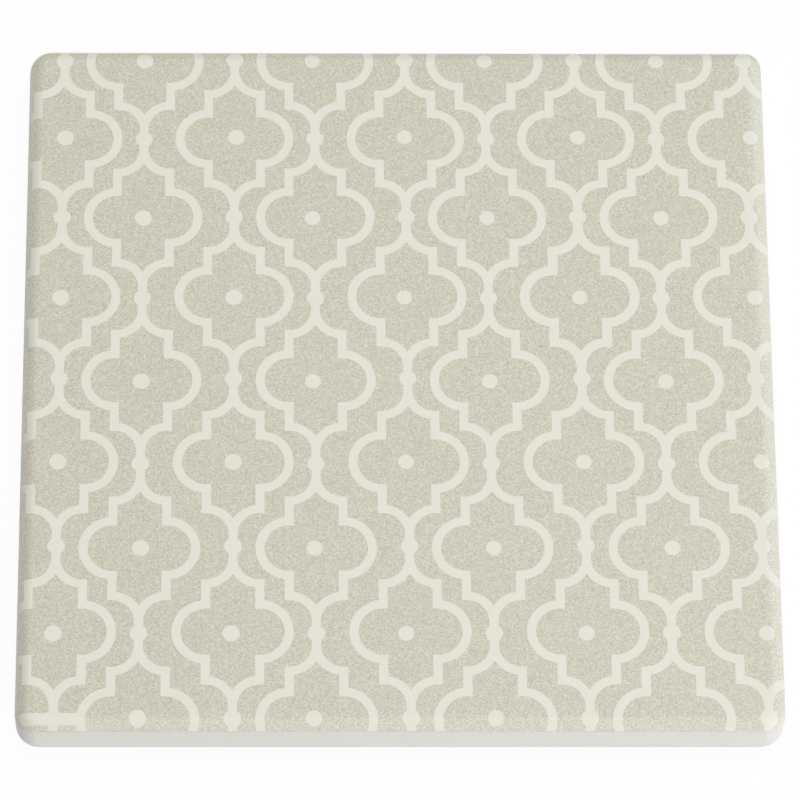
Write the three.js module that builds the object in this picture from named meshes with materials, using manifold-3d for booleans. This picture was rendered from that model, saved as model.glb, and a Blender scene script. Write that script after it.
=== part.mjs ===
// Square ceramic coaster: a pressed tile with a printed trellis face, on a glued cork pad.
// Millimetres, +Z up, +Y away from the viewer, origin at the middle of the cork's underside.

import * as THREE from 'three';
import { mergeVertices } from 'three/addons/utils/BufferGeometryUtils.js';
import Module from 'manifold-3d';

const wasm = await Module();
wasm.setup();

// Ceramic tile
const tileSide = 100;
const tileThickness = 6.1;
const cornerRadius = 3.1;
const topEdgeRound = 2.1;
const bottomEdgeRound = 0.4;

// Backing under the tile
const corkThickness = 1.6;
const corkInset = 3;
const corkCornerRadius = 3;
const adhesiveThickness = 0.2;
const adhesiveInset = 0.5;

// Printed face: a ground all over, with the trellis lines laid on it
const groundThickness = 0.05;
const lineThickness = 0.05;
const printReach = THREE.MathUtils.degToRad(58);

// One cell of the trellis, measured to the middle of its line
const lineWidth = 1.2;
const lobeRadius = 3.84;
const stepOffset = 3.53;
const shoulderHeight = 6.78;
const beadRadius = 1.15;
const dotRadius = 1.06;

// How the cells repeat: margins run from the tile's sides to the middles of the outer columns, and
// of the outer cells in every second column, which is printed a little to the left
const columnCount = 9;
const cellCount = 5;
const leftMargin = 4.95;
const rightMargin = 2.47;
const frontMargin = 1.54;
const backMargin = 2.09;
const columnSlip = 0.67;
const cellSlip = 0.33;

// Facets of the rounds
const quarterTurn = Math.PI / 2;
const cornerSteps = 6;
const printedRoundSteps = 3;
const bareRoundSteps = 2;
const bottomRoundSteps = 2;
const arcStep = THREE.MathUtils.degToRad(30);

// Worked out from the sizes above
const halfSide = tileSide / 2;
const halfLine = lineWidth / 2;
const ogeeHeight = shoulderHeight + stepOffset;
const columnPitch = (tileSide - leftMargin - rightMargin) / (columnCount - 1);
const cellPitch = (tileSide - frontMargin - backMargin) / (cellCount - 1);

const ceramic = new THREE.MeshStandardMaterial({ color: 0xe6e4dd, roughness: 0.35, metalness: 0 });
const groundInk = new THREE.MeshStandardMaterial({ color: 0xcbc9ba, roughness: 0.5, metalness: 0 });
const lineInk = new THREE.MeshStandardMaterial({ color: 0xe9e6da, roughness: 0.45, metalness: 0 });
const adhesive = new THREE.MeshStandardMaterial({ color: 0xd8cfb8, roughness: 0.6, metalness: 0 });
const cork = new THREE.MeshStandardMaterial({ color: 0xb98d5f, roughness: 0.9, metalness: 0 });

// The tile's group has its origin on the tile's underside, and holds the print too.
const coaster = new THREE.Group();
const backing = new THREE.Group();
const tile = new THREE.Group();
tile.position.z = corkThickness + adhesiveThickness;
coaster.add(backing, tile);

function addPiece(group, name, geometry, material) {
  const piece = new THREE.Mesh(geometry, material);
  piece.name = name;
  group.add(piece);
  return piece;
}

// Evenly spaced values from first to last, both included.
function spread(first, last, steps) {
  return Array.from({ length: steps + 1 }, (_, i) => first + ((last - first) * i) / steps);
}

// Points on an arc, ends included, at most arcStep apart.
function arc(x, y, radius, from, to) {
  const steps = Math.ceil(Math.abs(to - from) / arcStep);
  return spread(from, to, steps).map(
    (angle) => new THREE.Vector2(x + radius * Math.cos(angle), y + radius * Math.sin(angle)),
  );
}

// A square with round corners, half as wide as its sides are apart.
function roundedSquare(half, radius) {
  const corner = half - radius;
  return [[1, 1], [-1, 1], [-1, -1], [1, -1]].flatMap(([signX, signY], quarter) =>
    spread(quarter, quarter + 1, cornerSteps).map(
      (turn) => new THREE.Vector2(
        signX * corner + radius * Math.cos(turn * quarterTurn),
        signY * corner + radius * Math.sin(turn * quarterTurn),
      ),
    ),
  );
}

// The tile's outline at one height, drawn in by inset from its side faces.
function ring(inset, z) {
  const outline = roundedSquare(halfSide - inset, cornerRadius - inset);
  return outline.map((point) => new THREE.Vector3(point.x, point.y, z));
}

// The tile's outline at an angle round its top edge, from 0 on the flat face to a quarter turn on
// the side, grown outwards by the thickness of what is printed on it.
function topEdgeRing(angle, grown = 0) {
  const radius = topEdgeRound + grown;
  const roundMiddle = tileThickness - topEdgeRound;
  return ring(topEdgeRound - radius * Math.sin(angle), roundMiddle + radius * Math.cos(angle));
}

function bottomEdgeRing(angle) {
  const inset = bottomEdgeRound * (1 - Math.sin(angle));
  return ring(inset, bottomEdgeRound * (1 - Math.cos(angle)));
}

// A closed skin through rings of equal length, with a flat cap on the first and the last.
function loft(rings) {
  const count = rings[0].length;
  const last = (rings.length - 1) * count;
  const triangles = [];
  for (let level = 0; level < last; level += count) {
    for (let i = 0; i < count; i++) {
      const a = level + i;
      const b = level + ((i + 1) % count);
      triangles.push(a, b, b + count, a, b + count, a + count);
    }
  }
  for (let i = 1; i < count - 1; i++) {
    triangles.push(0, i + 1, i, last, last + i, last + i + 1);
  }
  const geometry = new THREE.BufferGeometry().setFromPoints(rings.flat());
  geometry.setIndex(triangles);
  geometry.computeVertexNormals();
  return geometry;
}

function makeTile() {
  return loft([
    ...spread(0, quarterTurn, bottomRoundSteps).map(bottomEdgeRing),
    ...spread(quarterTurn, printReach, bareRoundSteps).map((angle) => topEdgeRing(angle)),
    ...spread(printReach, 0, printedRoundSteps).slice(1).map((angle) => topEdgeRing(angle)),
  ]);
}

// A film over the flat face and round the top edge as far as the print reaches.
function makeFilm(innerGrown, outerGrown) {
  const angles = spread(0, printReach, printedRoundSteps);
  return loft([
    ...angles.map((angle) => topEdgeRing(angle, innerGrown)),
    ...angles.toReversed().map((angle) => topEdgeRing(angle, outerGrown)),
  ]);
}

// A die-cut sheet of the cork's outline, drawn in by inset.
function makeSheet(inset, thickness) {
  const half = halfSide - corkInset - inset;
  const outline = new THREE.Shape(roundedSquare(half, corkCornerRadius - inset));
  return new THREE.ExtrudeGeometry(outline, { depth: thickness, bevelEnabled: false });
}

function toSolid(geometry) {
  const bare = geometry.clone();
  bare.deleteAttribute('normal');
  bare.deleteAttribute('uv');
  const welded = mergeVertices(bare);
  return new wasm.Manifold(new wasm.Mesh({
    numProp: 3,
    vertProperties: welded.attributes.position.array,
    triVerts: Uint32Array.from(welded.index.array),
  }));
}

function toGeometry(solid) {
  const { vertProperties, triVerts } = solid.getMesh();
  const geometry = new THREE.BufferGeometry();
  geometry.setAttribute('position', new THREE.BufferAttribute(vertProperties, 3));
  geometry.setIndex(new THREE.BufferAttribute(triVerts, 1));
  geometry.computeVertexNormals();
  return geometry;
}

const mirrorX = (points) => points.map(({ x, y }) => new THREE.Vector2(-x, y)).reverse();
const mirrorY = (points) => points.map(({ x, y }) => new THREE.Vector2(x, -y)).reverse();
const lift = (points, y) => points.map((point) => new THREE.Vector2(point.x, point.y + y));

// The outer edge of a cell's right half: neck, ogee, step, lobe, and the same again upwards.
function cellOuterEdge() {
  const lobeOuter = lobeRadius + halfLine;
  const lobeTurn = Math.acos(halfLine / lobeOuter);
  const below = [
    ...arc(stepOffset, -ogeeHeight, stepOffset - halfLine, Math.PI, quarterTurn),
    new THREE.Vector2(stepOffset + halfLine, -shoulderHeight - halfLine),
  ];
  return [...below, ...arc(stepOffset, 0, lobeOuter, -lobeTurn, lobeTurn), ...mirrorY(below)];
}

// The window inside a cell's line, from the point at its foot round to the left.
function cellWindow() {
  const ogeeOuter = stepOffset + halfLine;
  const tipTurn = Math.acos(-stepOffset / ogeeOuter);
  const stepTurn = Math.acos(-halfLine / ogeeOuter);
  const lobeInner = lobeRadius - halfLine;
  const below = [
    ...arc(stepOffset, -ogeeHeight, ogeeOuter, tipTurn, stepTurn),
    new THREE.Vector2(stepOffset - halfLine, -lobeInner),
  ];
  const lobe = arc(stepOffset, 0, lobeInner, -quarterTurn, quarterTurn);
  const right = [...below, ...lobe, ...mirrorY(below)];
  return [...right, ...mirrorX(right).slice(1, -1)];
}

// One unbroken run of line: cells strung on their necks, from past the front edge to past the back.
function runOutline(cellHeights) {
  const right = cellHeights.flatMap((y) => lift(cellOuterEdge(), y));
  const outline = new THREE.Shape([...right, ...mirrorX(right)]);
  outline.holes = cellHeights.map((y) => new THREE.Path(lift(cellWindow(), y)));
  return outline;
}

function discOutline(radius, y) {
  return new THREE.Shape(arc(0, y, radius, 0, 2 * Math.PI).slice(1));
}

const lineFilm = toSolid(makeFilm(groundThickness, groundThickness + lineThickness));

// The part of the line film inside the outlines, which are joined and stand at x.
function printed(outlines, x) {
  const reach = { depth: tileThickness + groundThickness + 2 * lineThickness, bevelEnabled: false };
  const prisms = outlines.map((outline) =>
    toSolid(new THREE.ExtrudeGeometry(outline, reach).translate(x, 0, 0)));
  return toGeometry(lineFilm.intersect(prisms.reduce((joined, prism) => joined.add(prism))));
}

// A column's run of line with a bead on each neck, and a dot in each cell.
function addColumn(index) {
  const isSlipped = index % 2 === 1;
  const column = index + 1;
  const x = leftMargin - halfSide + index * columnPitch - (isSlipped ? columnSlip : 0);
  const firstCell = frontMargin - halfSide + (isSlipped ? 0 : cellPitch / 2 + cellSlip);
  const wholeCells = isSlipped ? cellCount : cellCount - 1;
  const cells = Array.from({ length: wholeCells + 2 }, (_, i) => firstCell + (i - 1) * cellPitch);
  const beads = cells.slice(1).map((y) => discOutline(beadRadius, y - cellPitch / 2));

  addPiece(tile, `trellis_column_${column}`, printed([runOutline(cells), ...beads], x), lineInk);
  cells.slice(1, -1).forEach((y, i) => {
    addPiece(tile, `cell_dot_${column}_${i + 1}`, printed([discOutline(dotRadius, y)], x), lineInk);
  });
}

addPiece(backing, 'cork_pad', makeSheet(0, corkThickness), cork);
const film = addPiece(backing, 'adhesive_film', makeSheet(adhesiveInset, adhesiveThickness), adhesive);
film.position.z = corkThickness;

addPiece(tile, 'ceramic_tile', makeTile(), ceramic);
addPiece(tile, 'printed_ground', makeFilm(0, groundThickness), groundInk);
for (let index = 0; index < columnCount; index++) {
  addColumn(index);
}

export default coaster;
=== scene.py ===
# Square ceramic coaster with a printed trellis face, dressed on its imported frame.
import math
import bmesh
import bpy
from mathutils import Matrix, Vector, noise
from mathutils.geometry import delaunay_2d_cdt


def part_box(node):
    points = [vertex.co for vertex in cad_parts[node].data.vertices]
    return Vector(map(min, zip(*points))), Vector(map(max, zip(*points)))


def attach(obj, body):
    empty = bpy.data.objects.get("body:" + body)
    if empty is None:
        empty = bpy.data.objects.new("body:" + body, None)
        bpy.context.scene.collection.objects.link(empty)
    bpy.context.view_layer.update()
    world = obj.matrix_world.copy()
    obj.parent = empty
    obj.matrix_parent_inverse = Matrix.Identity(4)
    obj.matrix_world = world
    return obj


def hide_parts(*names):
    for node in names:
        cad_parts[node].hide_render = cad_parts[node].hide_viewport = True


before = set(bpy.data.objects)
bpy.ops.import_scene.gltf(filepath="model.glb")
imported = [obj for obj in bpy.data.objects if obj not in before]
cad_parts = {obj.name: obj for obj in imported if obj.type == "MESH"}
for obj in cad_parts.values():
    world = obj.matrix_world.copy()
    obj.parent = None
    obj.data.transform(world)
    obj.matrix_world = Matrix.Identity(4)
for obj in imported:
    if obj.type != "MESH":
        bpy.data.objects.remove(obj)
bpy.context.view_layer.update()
mm = 0.001

tileLow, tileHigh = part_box("ceramic_tile")
halfSide = tileHigh.x
faceHeight = tileHigh.z  # the bare tile's face
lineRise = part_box("trellis_column_5")[1].z - faceHeight
print("frame loaded:", len(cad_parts), "nodes, face at", round(faceHeight / mm, 2), "mm")


def addObject(name, data):
    item = bpy.data.objects.new(name, data)
    bpy.context.scene.collection.objects.link(item)
    return item


# Camera

photoView = {
    "elevation": 65.299,  # degrees above the table
    "azimuth": -2.404,
    "roll": 2.2405,
    "distance": 730.85 * mm,
    "aim": (0.241 * mm, -1.570 * mm),  # on the tile's middle plane
    "lens": 246.72,
    "sensor": 36,
}


def placeCamera():
    elevation, azimuth, roll = (math.radians(photoView[key]) for key in ("elevation", "azimuth", "roll"))
    back = Vector((math.sin(azimuth), -math.cos(azimuth), math.tan(elevation))).normalized()
    right = Vector((math.cos(azimuth), math.sin(azimuth), 0))
    turn = Matrix.Rotation(roll, 3, back) @ Matrix((right, back.cross(right), back)).transposed()
    aim = Vector((*photoView["aim"], (tileLow.z + tileHigh.z) / 2))
    data = bpy.data.cameras.new("photoCamera")
    data.lens = photoView["lens"]
    data.sensor_width = photoView["sensor"]
    camera = addObject("photoCamera", data)
    camera.matrix_world = Matrix.Translation(aim + back * photoView["distance"]) @ turn.to_4x4()
    bpy.context.scene.camera = camera


placeCamera()
print("camera placed")


# Node helpers: a value may be a number, a colour, or a socket to link from

def feed(tree, socket, value):
    if isinstance(value, bpy.types.NodeSocket):
        tree.links.new(value, socket)
    else:
        socket.default_value = value


def addNode(tree, kind, **values):  # the node's settings first, then its inputs
    node = tree.nodes.new(kind)
    for label, value in values.items():
        if label in node.bl_rna.properties:
            setattr(node, label, value)
        else:
            feed(tree, node.inputs[label], value)
    return node


def addMath(tree, operation, first, second):
    node = addNode(tree, "ShaderNodeMath", operation=operation)
    for socket, value in zip(node.inputs, (first, second)):
        feed(tree, socket, value)
    return node.outputs[0]


def addSwing(tree, texture, amount):  # a noise about its middle, scaled
    return addMath(tree, "MULTIPLY", addMath(tree, "SUBTRACT", texture, 0.5), amount)


def mixColours(tree, factor, first, second, blend="MIX"):
    settings = {"data_type": "RGBA", "blend_type": blend}
    return addNode(tree, "ShaderNodeMix", **settings, Factor=factor, A=first, B=second).outputs["Result"]


def objectPlace(tree):
    return addNode(tree, "ShaderNodeTexCoord").outputs["Object"]


def addTexture(tree, kind, place, **values):
    return addNode(tree, f"ShaderNodeTex{kind}", **values, Vector=place).outputs


# Node groups that several finishes share

def newGroup(name, inputs, outputs):
    group = bpy.data.node_groups.new(name, "ShaderNodeTree")
    for label, kind, value in inputs:
        socket = group.interface.new_socket(label, in_out="INPUT", socket_type=kind)
        socket.default_value = value
    for label, kind in outputs:
        group.interface.new_socket(label, in_out="OUTPUT", socket_type=kind)
    return group, group.nodes.new("NodeGroupInput").outputs, group.nodes.new("NodeGroupOutput").inputs


speckleNoise = {
    "shade": {"Detail": 1.5, "Roughness": 0.7},
    "tint": {"Detail": 1, "Roughness": 0.6},
    "tintGrains": 0.83,  # to each grain of the shade
    "blueSwing": 0.4,  # to the red's
}


def makeFineSpeckle():
    group, given, made = newGroup(
        "fineSpeckle",
        [
            ("Colour", "NodeSocketColor", (0.8, 0.8, 0.8, 1)),
            ("Grains", "NodeSocketFloat", 5000),  # per metre
            ("Lightness", "NodeSocketFloat", 0.3),
            ("Warmth", "NodeSocketFloat", 0.1),
        ],
        [("Colour", "NodeSocketColor"), ("Height", "NodeSocketFloat")],
    )
    place = objectPlace(group)
    tintGrains = addMath(group, "MULTIPLY", given["Grains"], speckleNoise["tintGrains"])
    shade = addTexture(group, "Noise", place, Scale=given["Grains"], **speckleNoise["shade"])[0]
    tint = addTexture(group, "Noise", place, Scale=tintGrains, **speckleNoise["tint"])[0]
    level = addMath(group, "ADD", addSwing(group, shade, given["Lightness"]), 1)
    warm = addSwing(group, tint, given["Warmth"])
    red = addMath(group, "ADD", level, warm)
    blue = addMath(group, "ADD", level, addMath(group, "MULTIPLY", warm, speckleNoise["blueSwing"]))
    gain = addNode(group, "ShaderNodeCombineColor", Red=red, Green=level, Blue=blue)
    feed(group, made["Colour"], mixColours(group, 1, given["Colour"], gain.outputs[0], "MULTIPLY"))
    feed(group, made["Height"], shade)
    return group


rippleNoise = {
    "swell": {"Detail": 2, "Roughness": 0.45},
    "smear": {"Scale": 90, "Detail": 3, "Roughness": 0.6},
}


def makeGlazeRipple():
    group, given, made = newGroup(
        "glazeRipple",
        [
            ("Ripples", "NodeSocketFloat", 250),  # per metre
            ("Roughness", "NodeSocketFloat", 0.4),
            ("Roughness Spread", "NodeSocketFloat", 0.1),
        ],
        [("Height", "NodeSocketFloat"), ("Roughness", "NodeSocketFloat")],
    )
    place = objectPlace(group)
    swell = addTexture(group, "Noise", place, Scale=given["Ripples"], **rippleNoise["swell"])[0]
    smear = addTexture(group, "Noise", place, **rippleNoise["smear"])[0]
    spread = addSwing(group, smear, given["Roughness Spread"])
    feed(group, made["Height"], swell)
    feed(group, made["Roughness"], addMath(group, "ADD", given["Roughness"], spread))
    return group


def makeStraySpecks():
    group, given, made = newGroup(
        "straySpecks",
        [
            ("Specks", "NodeSocketFloat", 300),  # places per metre
            ("Share", "NodeSocketFloat", 0.1),  # of the places that have a speck
            ("Size", "NodeSocketFloat", 0.1),  # of the space between places
        ],
        [("Mask", "NodeSocketFloat")],
    )
    cells = addTexture(group, "Voronoi", objectPlace(group), feature="F1", Scale=given["Specks"])
    near = addMath(group, "LESS_THAN", cells["Distance"], given["Size"])
    pick = addNode(group, "ShaderNodeSeparateColor", Color=cells["Color"])
    chosen = addMath(group, "LESS_THAN", pick.outputs[0], given["Share"])
    feed(group, made["Mask"], addMath(group, "MULTIPLY", near, chosen))
    return group


paintedEdgeLightBand = {  # in from the tile's sides: where the painted light and shade on the rounds starts, and where it is at its full share
    "right": (2.6 * mm, 0.9 * mm),
    "front": (2.6 * mm, 0.9 * mm),
    "left": (1.1 * mm, 0.3 * mm),
}


def makePaintedEdgeLight():  # painted light and shade: the ink's colour shifts on the tile's right, front and left rounds for how the light falls there
    group, given, made = newGroup(
        "paintedEdgeLight",
        [
            ("Colour", "NodeSocketColor", (0.8, 0.8, 0.8, 1)),
            ("Painted Light Colour", "NodeSocketColor", (0.8, 0.8, 0.8, 1)),
            ("Right Share", "NodeSocketFloat", 0.4),
            ("Front Share", "NodeSocketFloat", 0.4),
            ("Left Share", "NodeSocketFloat", 0.4),
        ],
        [("Colour", "NodeSocketColor")],
    )
    place = addNode(group, "ShaderNodeSeparateXYZ", Vector=objectPlace(group))
    most = 0
    for side, axis, sign in (("right", "X", 1), ("front", "Y", -1), ("left", "X", -1)):
        start, end = paintedEdgeLightBand[side]
        span = {
            "Value": place.outputs[axis],
            "From Min": sign * (halfSide - start),
            "From Max": sign * (halfSide - end),
            "To Max": given[f"{side.capitalize()} Share"],
        }
        paintedLight = addNode(group, "ShaderNodeMapRange", interpolation_type="SMOOTHSTEP", **span)
        most = addMath(group, "MAXIMUM", most, paintedLight.outputs[0])
    # mixes towards the painted light colour by the largest share: painted sheen or painted shade on the
    # rounds
    feed(group, made["Colour"], mixColours(group, most, given["Colour"], given["Painted Light Colour"]))
    return group


fineSpeckle = makeFineSpeckle()
glazeRipple = makeGlazeRipple()
straySpecks = makeStraySpecks()
paintedEdgeLight = makePaintedEdgeLight()
print("node groups made")


# Finishes: the groups' own inputs are given by their labels

def newFinish(name):
    material = bpy.data.materials.new(name)
    material.use_nodes = True
    return material, material.node_tree, material.node_tree.nodes["Principled BSDF"]


def addGroup(tree, group, **values):
    return addNode(tree, "ShaderNodeGroup", node_tree=group, **values).outputs


def dressShader(tree, shader, finish, colour, roughness, height):
    bump = addNode(tree, "ShaderNodeBump", Height=height, **finish["bump"])
    feed(tree, shader.inputs["Base Color"], colour)
    feed(tree, shader.inputs["Roughness"], roughness)
    feed(tree, shader.inputs["Normal"], bump.outputs[0])
    shader.inputs["Specular IOR Level"].default_value = finish["specular"]


whiteGlaze = {
    "colour": (0.69, 0.678, 0.637, 1),
    "pinholeColour": (0.61, 0.595, 0.55, 1),
    "pinholes": {"Specks": 260, "Share": 0.2, "Size": 0.06},
    "grain": {"Grains": 700, "Lightness": 0.05, "Warmth": 0.03},
    "ripple": {"Ripples": 320, "Roughness": 0.45},
    "bump": {"Strength": 0.5, "Distance": 0.04 * mm},
    "specular": 0.4,
}


def makeWhiteGlaze():
    material, tree, shader = newFinish("whiteGlaze")
    pinholes = addGroup(tree, straySpecks, **whiteGlaze["pinholes"])
    body = mixColours(tree, pinholes["Mask"], whiteGlaze["colour"], whiteGlaze["pinholeColour"])
    grain = addGroup(tree, fineSpeckle, Colour=body, **whiteGlaze["grain"])
    ripple = addGroup(tree, glazeRipple, **whiteGlaze["ripple"])
    dressShader(tree, shader, whiteGlaze, grain["Colour"], ripple["Roughness"], ripple["Height"])
    return material


sageInk = {
    "colour": (0.589, 0.569, 0.468, 1),
    "speckColour": (0.40, 0.38, 0.30, 1),
    "specks": {"Specks": 420, "Share": 0.05, "Size": 0.06},
    # painted sheen: the sage is mixed towards a paler colour on the right, front and left rounds, standing
    # in for the light there
    "paintedLight": {
        "Painted Light Colour": (0.68, 0.68, 0.60, 1),
        "Right Share": 0.4,
        "Front Share": 0.4,
        "Left Share": 0.8,
    },
    "grain": {"Grains": 5200, "Lightness": 1.1, "Warmth": 0.25},
    "grainRise": 0.12,  # to the ripple's
    "ripple": {"Ripples": 260, "Roughness": 0.55},
    "bump": {"Strength": 0.5, "Distance": 0.03 * mm},
    "specular": 0.4,
}


def makeSageInk():
    material, tree, shader = newFinish("sageInk")
    specks = addGroup(tree, straySpecks, **sageInk["specks"])
    body = mixColours(tree, specks["Mask"], sageInk["colour"], sageInk["speckColour"])
    # painted sheen on the rounds
    paintedLight = addGroup(tree, paintedEdgeLight, Colour=body, **sageInk["paintedLight"])
    grain = addGroup(tree, fineSpeckle, Colour=paintedLight["Colour"], **sageInk["grain"])
    ripple = addGroup(tree, glazeRipple, **sageInk["ripple"])
    grainRise = addMath(tree, "MULTIPLY", grain["Height"], sageInk["grainRise"])
    height = addMath(tree, "ADD", ripple["Height"], grainRise)
    dressShader(tree, shader, sageInk, grain["Colour"], ripple["Roughness"], height)
    return material


creamInk = {
    "colour": (0.755, 0.731, 0.650, 1),
    # painted shade: the cream is mixed towards the darker glaze colour on the right and front rounds,
    # holding back the lamps' highlight there
    "paintedLight": {
        "Painted Light Colour": whiteGlaze["colour"],
        "Right Share": 0.5,
        "Front Share": 0.1,
        "Left Share": 0,
    },
    "grain": {"Grains": 2600, "Lightness": 0.05, "Warmth": 0.05},
    "ripple": {"Ripples": 260, "Roughness": 0.55},
    "bump": {"Strength": 0.5, "Distance": 0.03 * mm},
    "specular": 0.4,
}


def makeCreamInk():
    material, tree, shader = newFinish("creamInk")
    # painted shade on the rounds
    paintedLight = addGroup(tree, paintedEdgeLight, Colour=creamInk["colour"], **creamInk["paintedLight"])
    grain = addGroup(tree, fineSpeckle, Colour=paintedLight["Colour"], **creamInk["grain"])
    ripple = addGroup(tree, glazeRipple, **creamInk["ripple"])
    dressShader(tree, shader, creamInk, grain["Colour"], ripple["Roughness"], ripple["Height"])
    return material


pressedCork = {
    "light": (0.56, 0.34, 0.17, 1),
    "dark": (0.30, 0.155, 0.07, 1),
    "bark": (0.075, 0.035, 0.016, 1),
    "granules": 620,  # per metre
    "bends": {"Scale": 900, "Detail": 2},  # of the granules' outlines
    "bendShare": 0.0009,
    "plainShare": 0.9,  # of the granules, the rest are bark
    "jointWidth": 0.045,  # to a granule's
    "jointShade": 0.7,
    "domeWidth": 0.15,  # how far in from its joints a granule rises
    "domeRise": 5,  # to the grain's
    "grain": {"Grains": 3800, "Lightness": 0.5, "Warmth": 0.12},
    "bump": {"Strength": 0.8, "Distance": 0.12 * mm},
    "roughness": 0.92,
    "specular": 0.2,
}


def makePressedCork():
    material, tree, shader = newFinish("pressedCork")
    place = objectPlace(tree)
    bends = addTexture(tree, "Noise", place, **pressedCork["bends"])["Color"]
    share = pressedCork["bendShare"]
    mix = addNode(tree, "ShaderNodeMix", data_type="VECTOR", Factor=share, A=place, B=bends)
    granules, joints = (
        addTexture(tree, "Voronoi", mix.outputs["Result"], feature=feature, Scale=pressedCork["granules"])
        for feature in ("F1", "DISTANCE_TO_EDGE")
    )
    tone = addNode(tree, "ShaderNodeSeparateColor", Color=granules["Color"]).outputs
    body = mixColours(tree, tone[0], pressedCork["light"], pressedCork["dark"])
    isBark = addMath(tree, "GREATER_THAN", tone[1], pressedCork["plainShare"])
    body = mixColours(tree, isBark, body, pressedCork["bark"])
    isJoint = addMath(tree, "LESS_THAN", joints["Distance"], pressedCork["jointWidth"])
    jointShade = addMath(tree, "MULTIPLY", isJoint, pressedCork["jointShade"])
    body = mixColours(tree, jointShade, body, pressedCork["bark"])
    grain = addGroup(tree, fineSpeckle, Colour=body, **pressedCork["grain"])
    dome = addMath(tree, "MINIMUM", joints["Distance"], pressedCork["domeWidth"])
    height = addMath(tree, "ADD", addMath(tree, "MULTIPLY", dome, pressedCork["domeRise"]), grain["Height"])
    dressShader(tree, shader, pressedCork, grain["Colour"], pressedCork["roughness"], height)
    return material


clearGlue = {
    "colour": (0.66, 0.58, 0.42, 1),
    "grain": {"Grains": 500, "Lightness": 0.3, "Warmth": 0.1},
    "ripple": {"Ripples": 600, "Roughness": 0.35},
    "bump": {"Strength": 0.6, "Distance": 0.1 * mm},
    "specular": 0.5,
}


def makeClearGlue():
    material, tree, shader = newFinish("clearGlue")
    grain = addGroup(tree, fineSpeckle, Colour=clearGlue["colour"], **clearGlue["grain"])
    ripple = addGroup(tree, glazeRipple, **clearGlue["ripple"])
    dressShader(tree, shader, clearGlue, grain["Colour"], ripple["Roughness"], ripple["Height"])
    return material


whiteGlazeFinish = makeWhiteGlaze()
sageInkFinish = makeSageInk()
creamInkFinish = makeCreamInk()
pressedCorkFinish = makePressedCork()
clearGlueFinish = makeClearGlue()
print("finishes made")


# Pieces

sharpAngle = math.radians(20)  # edges that turn by more stay crisp


def newMesh(name, mesh):
    data = bpy.data.meshes.new(name)
    mesh.to_mesh(data)
    mesh.free()
    return data


def addPiece(name, mesh, finish, slotName, *nodes):
    data = newMesh(name, mesh)
    data.shade_smooth()
    data.set_sharp_from_angle(angle=sharpAngle)
    data.materials.append(finish)
    piece = addObject(name, data)
    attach(piece, "root")
    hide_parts(*nodes)


tileForm = {
    "topEdgeRound": 2.1 * mm,
    "bottomEdgeRound": 0.4 * mm,
    # at each corner, told by the signs of its x and y, anticlockwise from the back right
    "cornerRadius": {(1, 1): 2.3 * mm, (-1, 1): 3.05 * mm, (-1, -1): 3.2 * mm, (1, -1): 3.2 * mm},
    "leastRadius": 0.05 * mm,
    "cornerSteps": 16,
    "roundSteps": 16,
}
corners = tuple(tileForm["cornerRadius"])


def roundedOutline(middles, radii, steps):  # from the middles and radii of its corners, anticlockwise
    points = []
    for quarter, corner in enumerate(corners):
        for step in range(steps + 1):
            angle = (quarter + step / steps) * math.pi / 2
            points.append(middles[corner] + radii[corner] * Vector((math.cos(angle), math.sin(angle))))
    return points


def roundedSquare(half, radii, steps):
    middles = {corner: Vector(corner) * (half - radii[corner]) for corner in corners}
    return roundedOutline(middles, radii, steps)


def tileOutline(inset):  # drawn in from the tile's sides
    least = tileForm["leastRadius"]
    radii = {corner: max(radius - inset, least) for corner, radius in tileForm["cornerRadius"].items()}
    return roundedSquare(halfSide - inset, radii, tileForm["cornerSteps"])


def insetAt(point):  # how far a point of the plan lies from the tile's sides
    corner = (math.copysign(1, point.x), math.copysign(1, point.y))
    radius = tileForm["cornerRadius"][corner]
    beyond = Vector((abs(point.x) + radius - halfSide, abs(point.y) + radius - halfSide))
    return radius - (beyond.length if min(beyond) > 0 else max(beyond))


def heightOnFace(point, rise):  # on the face, or on its rounded edge, with a rise square to the surface
    edgeRound = tileForm["topEdgeRound"]
    run = max(edgeRound - insetAt(point), 0)
    return faceHeight - edgeRound + math.sqrt(max((edgeRound + rise) ** 2 - run ** 2, 0))


def makeTile():
    mesh = bmesh.new()
    steps = tileForm["roundSteps"]
    turns = [step / steps * math.pi / 2 for step in range(steps + 1)]

    def addRing(edgeRound, turn, flat, inward):  # at a turn from the flat face to the side
        height = flat + inward * edgeRound * (1 - math.cos(turn))
        return [mesh.verts.new((*point, height)) for point in tileOutline(edgeRound * (1 - math.sin(turn)))]

    rings = [addRing(tileForm["bottomEdgeRound"], turn, tileLow.z, 1) for turn in turns]
    rings += [addRing(tileForm["topEdgeRound"], turn, faceHeight, -1) for turn in reversed(turns)]
    for below, above in zip(rings, rings[1:]):
        for i in range(len(below)):
            mesh.faces.new((below[i - 1], below[i], above[i], above[i - 1]))
    mesh.faces.new(reversed(rings[0]))
    mesh.faces.new(rings[-1])
    addPiece("ceramicTile", mesh, whiteGlazeFinish, "ceramic", "ceramic_tile")


makeTile()
print("tile made")

insideOnly = 1  # the triangulation leaves out what lies in no outline
weldGap = 1e-8  # metres


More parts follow.
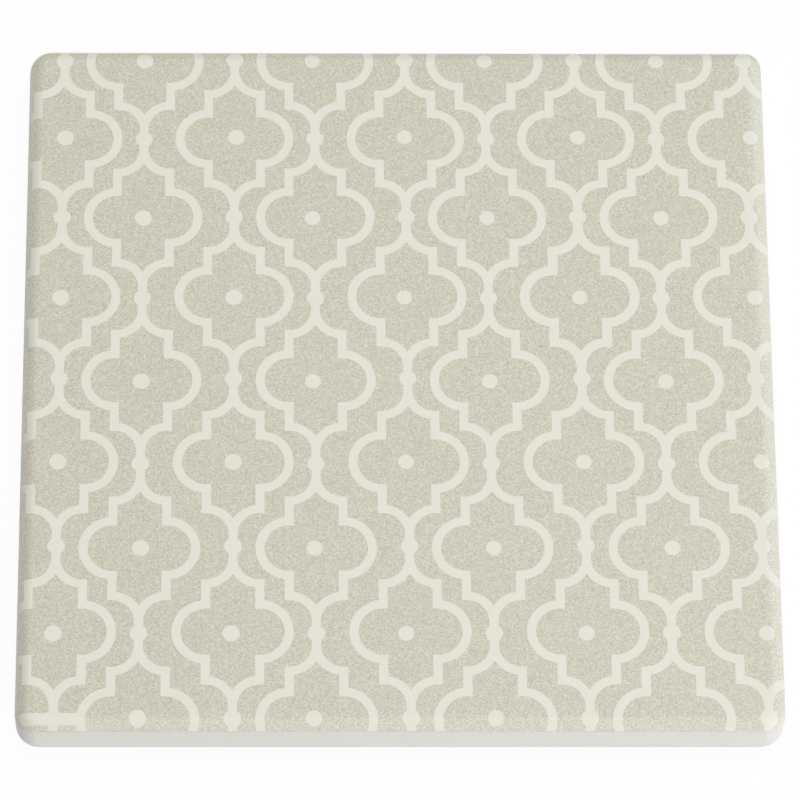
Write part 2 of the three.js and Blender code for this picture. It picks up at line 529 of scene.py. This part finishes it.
def planSolid(polygons, isKept, topAt, bottomAt, loosePoints=()):  # a closed sheet over part of the plan
    points = list(loosePoints)
    faces = []
    for polygon in polygons:
        faces.append(list(range(len(points), len(points) + len(polygon))))
        points.extend(polygon)
    verts, _, triangles, _, _, owners = delaunay_2d_cdt(points, [], faces, insideOnly, weldGap)
    kept = [triangle for triangle, inside in zip(triangles, owners) if isKept(set(inside))]
    mesh = bmesh.new()
    used = sorted({vert for triangle in kept for vert in triangle})
    upper = {vert: mesh.verts.new((*verts[vert], topAt(verts[vert]))) for vert in used}
    lower = {vert: mesh.verts.new((*verts[vert], bottomAt(verts[vert]))) for vert in used}
    sides = set()
    for a, b, c in kept:
        mesh.faces.new((upper[a], upper[b], upper[c]))
        mesh.faces.new((lower[c], lower[b], lower[a]))
        sides.update(((a, b), (b, c), (c, a)))
    for a, b in sorted(sides):
        if (b, a) not in sides:
            mesh.faces.new((upper[b], upper[a], lower[a], lower[b]))
    return mesh


def isInFirst(inside):  # for a sheet that fills its first outline
    return 0 in inside


printForm = {
    # degrees round the tile's top edge that the print goes at each corner: on the side, and on the end
    "reach": {(1, 1): (65, 40), (-1, 1): (65, 40), (-1, -1): (55, 60), (1, -1): (65, 60)},
    "cornerRadius": {(1, 1): 1.85 * mm, (-1, 1): 2.55 * mm, (-1, -1): 2.6 * mm, (1, -1): 2.95 * mm},
    "levels": 10,
    "lineStep": 0.008 * mm,  # how far the lines stand out of the ground
    "bedding": 0.02 * mm,  # how far a film is sunk into what is under it
}


def printInset(degrees):  # from the tile's sides, in plan, of a line that far round its top edge
    return tileForm["topEdgeRound"] * (1 - math.sin(math.radians(degrees)))


def printLimit():  # outline of the printed area in plan
    middles = {}
    for corner, reach in printForm["reach"].items():
        tip = Vector([sign * (halfSide - printInset(degrees)) for sign, degrees in zip(corner, reach)])
        middles[corner] = tip - Vector(corner) * printForm["cornerRadius"][corner]
    return roundedOutline(middles, printForm["cornerRadius"], tileForm["cornerSteps"])


def printLevels():  # outlines in plan that the films bend along
    levels = printForm["levels"]
    furthest = max(max(reach) for reach in printForm["reach"].values())
    return [tileOutline(printInset(furthest * level / levels)) for level in range(levels)]


def makeGround():
    mesh = planSolid(
        [printLimit(), *printLevels()],
        isInFirst,
        lambda point: heightOnFace(point, lineRise - printForm["lineStep"]),
        lambda point: heightOnFace(point, -printForm["bedding"]),
    )
    addPiece("printedGround", mesh, sageInkFinish, "ground_ink", "printed_ground")


makeGround()
print("printed ground made")


trellis = {
    "lineWidth": 1.2 * mm,
    "lobeRadius": 3.84 * mm,
    "stepOffset": 3.53 * mm,
    "shoulderHeight": 6.78 * mm,
    "beadRadius": 1.15 * mm,
    "dotRadius": 1.04 * mm,
    "bigDotRadius": 1.13 * mm,
    "bigDotColumns": 3,  # from the left
    "arcStep": math.radians(6),
    "arcSlack": 1e-6,  # of a step, so that a whole number of steps isn't rounded up
    "rowLean": 0.04,  # degrees, of the print's rows and columns on the tile
    "columnLean": 0.155,
    "columns": 9,
    "backLeftSag": 0.27 * mm,  # how far the print is drawn forward at that corner
    "sagPower": 3,  # how fast that fades towards the right
    # rows from the front and columns from the left that lie off their even places, with how far in mm
    "rowSlip": {1: -0.1, 4: 0.15, 5: 0.15, 6: 0.25, 7: -0.2, 8: -0.1},
    "dotRowSlipAcross": {1: -0.2, 2: 0.15, 7: 0.25},
    "dotRowSlipAlong": {0: 0.25, 1: -0.35, 6: 0.15},
    "dotColumnSlip": {4: -0.35, 5: -0.35, 8: 0.3, 9: 0.35},
    "boldCell": "cell_dot_7_3",  # the cell round this dot
    "boldLine": 1.32 * mm,
    "missingDot": "cell_dot_8_1",
    "strayBar": (-49.1 * mm, -47.55 * mm),  # from front to back, along the front left corner
}
halfLine = trellis["lineWidth"] / 2
ogeeHeight = trellis["shoulderHeight"] + trellis["stepOffset"]


def arc(x, y, radius, start, end):
    steps = max(math.ceil(abs(end - start) / trellis["arcStep"] - trellis["arcSlack"]), 1)
    angles = [start + (end - start) * step / steps for step in range(steps + 1)]
    return [Vector((x + radius * math.cos(angle), y + radius * math.sin(angle))) for angle in angles]


def mirrorX(points):
    return [Vector((-point.x, point.y)) for point in reversed(points)]


def mirrorY(points):
    return [Vector((point.x, -point.y)) for point in reversed(points)]


def moved(points, x, y):
    return [point + Vector((x, y)) for point in points]


def cellOuterEdge(half):  # right half, from the neck at the foot up to the neck at the head
    step, lobe = trellis["stepOffset"], trellis["lobeRadius"] + half
    lobeTurn = math.acos(half / lobe)
    below = arc(step, -ogeeHeight, step - half, math.pi, math.pi / 2)
    below.append(Vector((step + half, -trellis["shoulderHeight"] - half)))
    return below + arc(step, 0, lobe, -lobeTurn, lobeTurn) + mirrorY(below)


def cellWindow(half):  # inside the line
    step, lobe = trellis["stepOffset"], trellis["lobeRadius"] - half
    ogee = step + half
    below = arc(step, -ogeeHeight, ogee, math.acos(-step / ogee), math.acos(-half / ogee))
    below.append(Vector((step - half, -lobe)))
    right = below + arc(step, 0, lobe, -math.pi / 2, math.pi / 2) + mirrorY(below)
    return right + mirrorX(right)[1:-1]


def beadEdge():
    beadTurn = math.acos(halfLine / trellis["beadRadius"])
    return arc(0, 0, trellis["beadRadius"], -beadTurn, beadTurn)


def runOutline(cells, halves):  # cells strung on their necks, with a bead on each neck
    right = moved(cellOuterEdge(halves[0]), 0, cells[0])
    for below, above, half in zip(cells, cells[1:], halves[1:]):
        right += moved(beadEdge(), 0, (below + above) / 2) + moved(cellOuterEdge(half), 0, above)
    return right + mirrorX(right)


def nodeMiddle(node):
    low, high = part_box(node)
    return (low + high) / 2


def columnDots(column):  # the CAD dots of a column, front to back
    names = sorted(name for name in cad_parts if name.startswith(f"cell_dot_{column}_"))
    firstRow = column % 2
    return [(name, firstRow + 2 * i, nodeMiddle(name)) for i, name in enumerate(names)]


def columnCells(column):  # the column's x and its cells' y, one more past each edge
    dots = columnDots(column)
    rows = [middle.y + trellis["rowSlip"].get(row, 0) * mm for _, row, middle in dots]
    pitch = (rows[-1] - rows[0]) / (len(rows) - 1)
    return dots[0][2].x, [rows[0] - pitch, *rows, rows[-1] + pitch]


def columnHalves(column):  # half the line's width in each of those cells
    isBold = [name == trellis["boldCell"] for name, _, _ in columnDots(column)]
    return [trellis["boldLine"] / 2 if bold else halfLine for bold in (False, *isBold, False)]


def leaning(points):  # as the print lies on the tile, a little out of square
    along, across = (math.tan(math.radians(trellis[key])) for key in ("rowLean", "columnLean"))
    placed = []
    for point in points:
        leftward, backward = max(-point.x / halfSide, 0), max(point.y / halfSide, 0)
        sag = trellis["backLeftSag"] * leftward ** trellis["sagPower"] * backward
        placed.append(Vector((point.x - across * point.y, point.y + along * point.x - sag)))
    return placed


def columnRun(column):
    x, cells = columnCells(column)
    return leaning(moved(runOutline(cells, columnHalves(column)), x, 0))


def columnWindows(column):
    x, cells = columnCells(column)
    return [leaning(moved(cellWindow(half), x, y)) for half, y in zip(columnHalves(column), cells)]


def dotOutline(column, row, middle):
    radius = trellis["bigDotRadius" if column <= trellis["bigDotColumns"] else "dotRadius"]
    across = trellis["dotColumnSlip"].get(column, 0) + trellis["dotRowSlipAcross"].get(row, 0)
    along = trellis["dotRowSlipAlong"].get(row, 0)
    return leaning(arc(middle.x + across * mm, middle.y + along * mm, radius, 0, 2 * math.pi)[1:])


def barOutline(endX):  # from the left edge
    front, back = trellis["strayBar"]
    return [Vector(point) for point in ((-halfSide, front), (endX, front), (endX, back), (-halfSide, back))]


def makeColumn(column):
    dots = columnDots(column)
    outlines = [("limit", printLimit())]
    outlines += [("bend", level) for level in printLevels()]
    outlines.append(("run", columnRun(column)))
    outlines += [("window", window) for window in columnWindows(column)]
    for name, row, middle in dots:
        if name != trellis["missingDot"]:
            outlines.append(("dot", dotOutline(column, row, middle)))
    if column == 1:  # the stray bar ends at the next column's line
        nextX, _ = columnCells(2)
        outlines += [("bar", barOutline(nextX)), ("next", columnRun(2))]
    kinds, polygons = zip(*outlines)

    def isKept(inside):
        under = {kinds[i] for i in inside}
        isLine = "run" in under and "window" not in under
        isBar = "bar" in under and "next" not in under
        return "limit" in under and (isLine or "dot" in under or isBar)

    mesh = planSolid(
        polygons,
        isKept,
        lambda point: heightOnFace(point, lineRise),
        lambda point: heightOnFace(point, lineRise - printForm["bedding"]),
    )
    nodes = [f"trellis_column_{column}", *(name for name, _, _ in dots)]
    addPiece(f"trellisColumn{column}", mesh, creamInkFinish, "line_ink", *nodes)


for column in range(1, trellis["columns"] + 1):
    makeColumn(column)
print("trellis made")


padEdge = {"cornerSteps": 24, "sideStep": 0.8 * mm}  # how finely both sheets are cut


def bite(place, raggedness, grain):  # from none to all of the raggedness
    return raggedness * (1 + noise.noise(place / grain)) / 2


def raggedOutline(half, form):
    radii = {corner: form["cornerRadius"] for corner in corners}
    outline = roundedSquare(half, radii, padEdge["cornerSteps"])
    points = []
    for start, end in zip(outline, outline[1:] + outline[:1]):
        cuts = max(round((end - start).length / padEdge["sideStep"]), 1)
        points += [start.lerp(end, cut / cuts) for cut in range(cuts)]
    ragged = []
    for point in points:
        depth = bite(point.to_3d(), form["raggedness"], form["granule"])
        ragged.append(point - point.normalized() * depth)
    return ragged


corkForm = {
    "cornerRadius": 3 * mm,
    "raggedness": 0.12 * mm,
    "granule": 1.6 * mm,
    "crumb": 0.8 * mm,
    "grid": 0.85 * mm,  # between the underside's points
    "gridShift": 0.3,  # how far they are shaken, to the grid
    "pitDepth": 0.22 * mm,
    "pitGain": 1.2,  # how fast the pits deepen away from the granules' middles
    "pitFrom": 0.35,
    "crumbShare": 0.3,
    "wallCuts": 3,
}


def corkPit(point):  # depth of the underside's pits, between the granules
    place = point.to_3d()
    distances, _ = noise.voronoi(place / corkForm["granule"])
    crumb = corkForm["crumbShare"] * noise.noise(place / corkForm["crumb"])
    share = corkForm["pitGain"] * distances[0] - corkForm["pitFrom"] + crumb
    return corkForm["pitDepth"] * max(0, min(1, share))


def corkGrid(margin):  # shaken points inside the cork's rounded corners
    grid = corkForm["grid"]
    count = int(2 * margin / grid)
    spots = [-margin + 2 * margin * i / count for i in range(count + 1)]
    points = []
    for x in spots:
        for y in spots:
            shift = grid * corkForm["gridShift"] * noise.noise(Vector((x, y, 1)) / grid)
            points.append(Vector((x + shift, y)))
    return points


def makeCork():
    low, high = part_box("cork_pad")
    mesh = planSolid(
        [raggedOutline(high.x, corkForm)],
        isInFirst,
        lambda point: high.z,
        lambda point: low.z + corkPit(point),
        corkGrid(high.x - corkForm["cornerRadius"]),
    )
    standing = []
    for edge in mesh.edges:
        if abs(edge.verts[0].co.z - edge.verts[1].co.z) > (high.z - low.z) / 2:
            standing.append(edge)
    cut = bmesh.ops.subdivide_edges(mesh, edges=standing, cuts=corkForm["wallCuts"])
    for vert in (item for item in cut["geom_inner"] if isinstance(item, bmesh.types.BMVert)):
        depth = bite(vert.co, corkForm["raggedness"], corkForm["crumb"])
        vert.co -= Vector((vert.co.x, vert.co.y, 0)).normalized() * depth
    addPiece("corkPad", mesh, pressedCorkFinish, "cork", "cork_pad")


glueForm = {"cornerRadius": 3 * mm, "raggedness": 0.36 * mm, "granule": 6.4 * mm}


def makeGlue():
    low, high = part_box("adhesive_film")
    outline = raggedOutline(high.x, glueForm)
    mesh = planSolid([outline], isInFirst, lambda point: high.z, lambda point: low.z)
    addPiece("glueFilm", mesh, clearGlueFinish, "adhesive", "adhesive_film")


makeCork()
makeGlue()
print("backing made")


# Table and light

studio = {
    "floorSize": 4,  # metres
    "floorColour": (0.86, 0.86, 0.86, 1),
    "floorGlow": 0.95,  # share of the floor that is plain white to the camera
    "backdrop": (1, 1, 1, 1),
    "ambient": 0.1,
    "lamps": {  # glare is whether it shows in reflections
        "frontKey": {"place": (0.55, -0.85, 0.35), "size": 0.6, "power": 7.9, "glare": False},
        "topSoftbox": {"place": (0.05, 0.10, 0.90), "size": 0.5, "power": 4.4},
        "rightSoftbox": {"place": (0.63, 0.40, 0.52), "size": 0.5, "power": 2.1, "tint": (0.94, 1.0, 1.03)},
        "leftStrip": {"place": (-0.65, 0.45, 0.30), "size": 0.3, "power": 1.15, "tint": (1.02, 1.0, 0.93)},
    },
}


def seenDirectly(tree):  # camera, glossy and transmission rays
    path = addNode(tree, "ShaderNodeLightPath").outputs
    sharp = addMath(tree, "MAXIMUM", path["Is Glossy Ray"], path["Is Transmission Ray"])
    return addMath(tree, "MAXIMUM", path["Is Camera Ray"], sharp)


def makeFloor():
    mesh = bmesh.new()
    bmesh.ops.create_grid(mesh, x_segments=1, y_segments=1, size=studio["floorSize"] / 2)
    floor = addObject("floor", newMesh("floor", mesh))
    material, tree, shader = newFinish("paleFloor")
    shader.inputs["Base Color"].default_value = studio["floorColour"]
    shader.inputs["Roughness"].default_value = 1
    shader.inputs["Specular IOR Level"].default_value = 0
    glow = addNode(tree, "ShaderNodeEmission", Strength=1)
    mix = addNode(tree, "ShaderNodeMixShader")
    glowShare = addMath(tree, "MULTIPLY", seenDirectly(tree), studio["floorGlow"])
    for socket, source in zip(mix.inputs, (glowShare, shader.outputs[0], glow.outputs[0])):
        feed(tree, socket, source)
    feed(tree, tree.nodes["Material Output"].inputs["Surface"], mix.outputs[0])
    floor.data.materials.append(material)


def makeWorld():
    world = bpy.data.worlds.new("studioWorld")
    bpy.context.scene.world = world
    world.use_nodes = True
    tree = world.node_tree
    background = tree.nodes["Background"]
    background.inputs["Color"].default_value = studio["backdrop"]
    strength = addMath(tree, "MAXIMUM", seenDirectly(tree), studio["ambient"])  # white where it is seen
    feed(tree, background.inputs["Strength"], strength)


def makeLamps():
    aim = Vector((0, 0, faceHeight))
    for name, lamp in studio["lamps"].items():
        data = bpy.data.lights.new(name, "AREA")
        data.size = lamp["size"]
        data.energy = lamp["power"]
        data.color = lamp.get("tint", (1, 1, 1))
        light = addObject(name, data)
        light.visible_glossy = lamp.get("glare", True)
        light.location = lamp["place"]
        light.rotation_euler = (aim - light.location).to_track_quat("-Z", "Y").to_euler()


makeFloor()
makeWorld()
makeLamps()
bpy.context.scene.view_settings.view_transform = "Standard"
print("table and light made")
